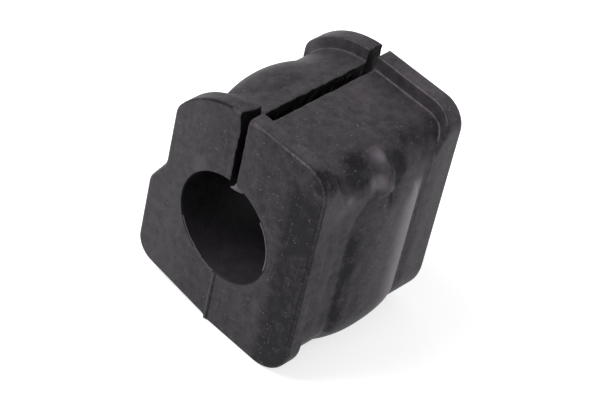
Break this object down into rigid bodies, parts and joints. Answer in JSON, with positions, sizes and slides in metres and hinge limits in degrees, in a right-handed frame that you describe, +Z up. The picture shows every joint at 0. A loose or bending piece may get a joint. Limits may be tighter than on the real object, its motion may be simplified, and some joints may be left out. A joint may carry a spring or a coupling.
{
  "type": "sway bar bushing",
  "caption": "Split moulded rubber bushing that wraps a round bar, with a slit to the bore, end flanges, a recessed waist and raised beads at mid length.",
  "frame": {"origin": "on the bore axis at mid length", "axes": "+Y along the bore, away from the end face that shows in the picture; +Z up, from the flat base to the slit; +X towards the square side with the bead"},
  "size_m": [0.0436, 0.0378, 0.0524],
  "materials": {
    "rubber": "dull moulded surface with light bloom, small scuffs and white dust"
  },
  "bodies": {
    "root": {"bushing": "rubber"}
  },
  "joints": []
}
